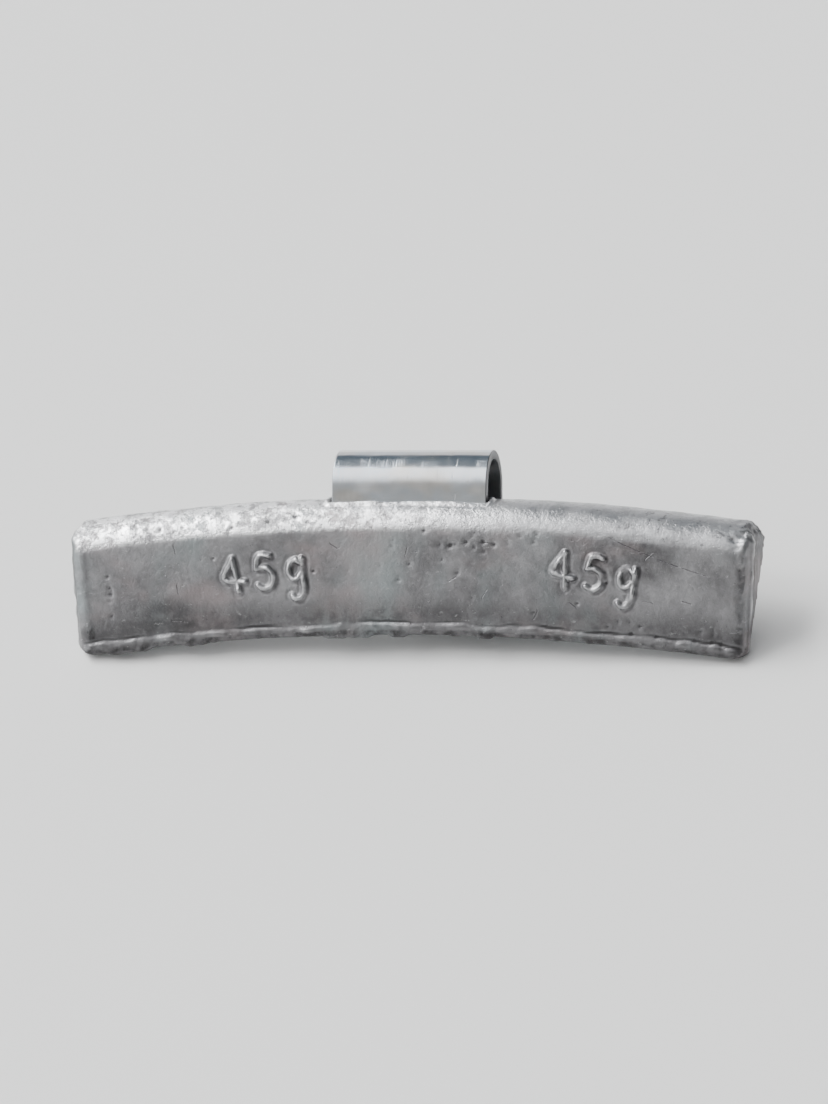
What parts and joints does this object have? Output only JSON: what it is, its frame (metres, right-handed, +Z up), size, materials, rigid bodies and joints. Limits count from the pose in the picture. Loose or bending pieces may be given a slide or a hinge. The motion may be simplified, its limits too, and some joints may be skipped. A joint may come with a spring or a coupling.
{
  "type": "clip-on wheel balance weight",
  "caption": "Curved cast lead bar with a spring-steel clip that hooks over the lip of a steel wheel rim to balance the wheel.",
  "frame": {"origin": "on the ground, under the middle of the weight as it lies at rest on its lower corners and the tip of its clip", "axes": "+X along the bar, +Y from the marked face towards the clip's tail, +Z up"},
  "size_m": [0.0754, 0.019, 0.0153],
  "materials": {
    "cast_lead": "as cast, dull grey with bright rubbed edges",
    "zinc_plated_steel": "smooth bright zinc plating with a cool tint"
  },
  "bodies": {
    "root": {"cast_bar": "cast_lead", "rim_clip": "zinc_plated_steel"}
  },
  "joints": []
}
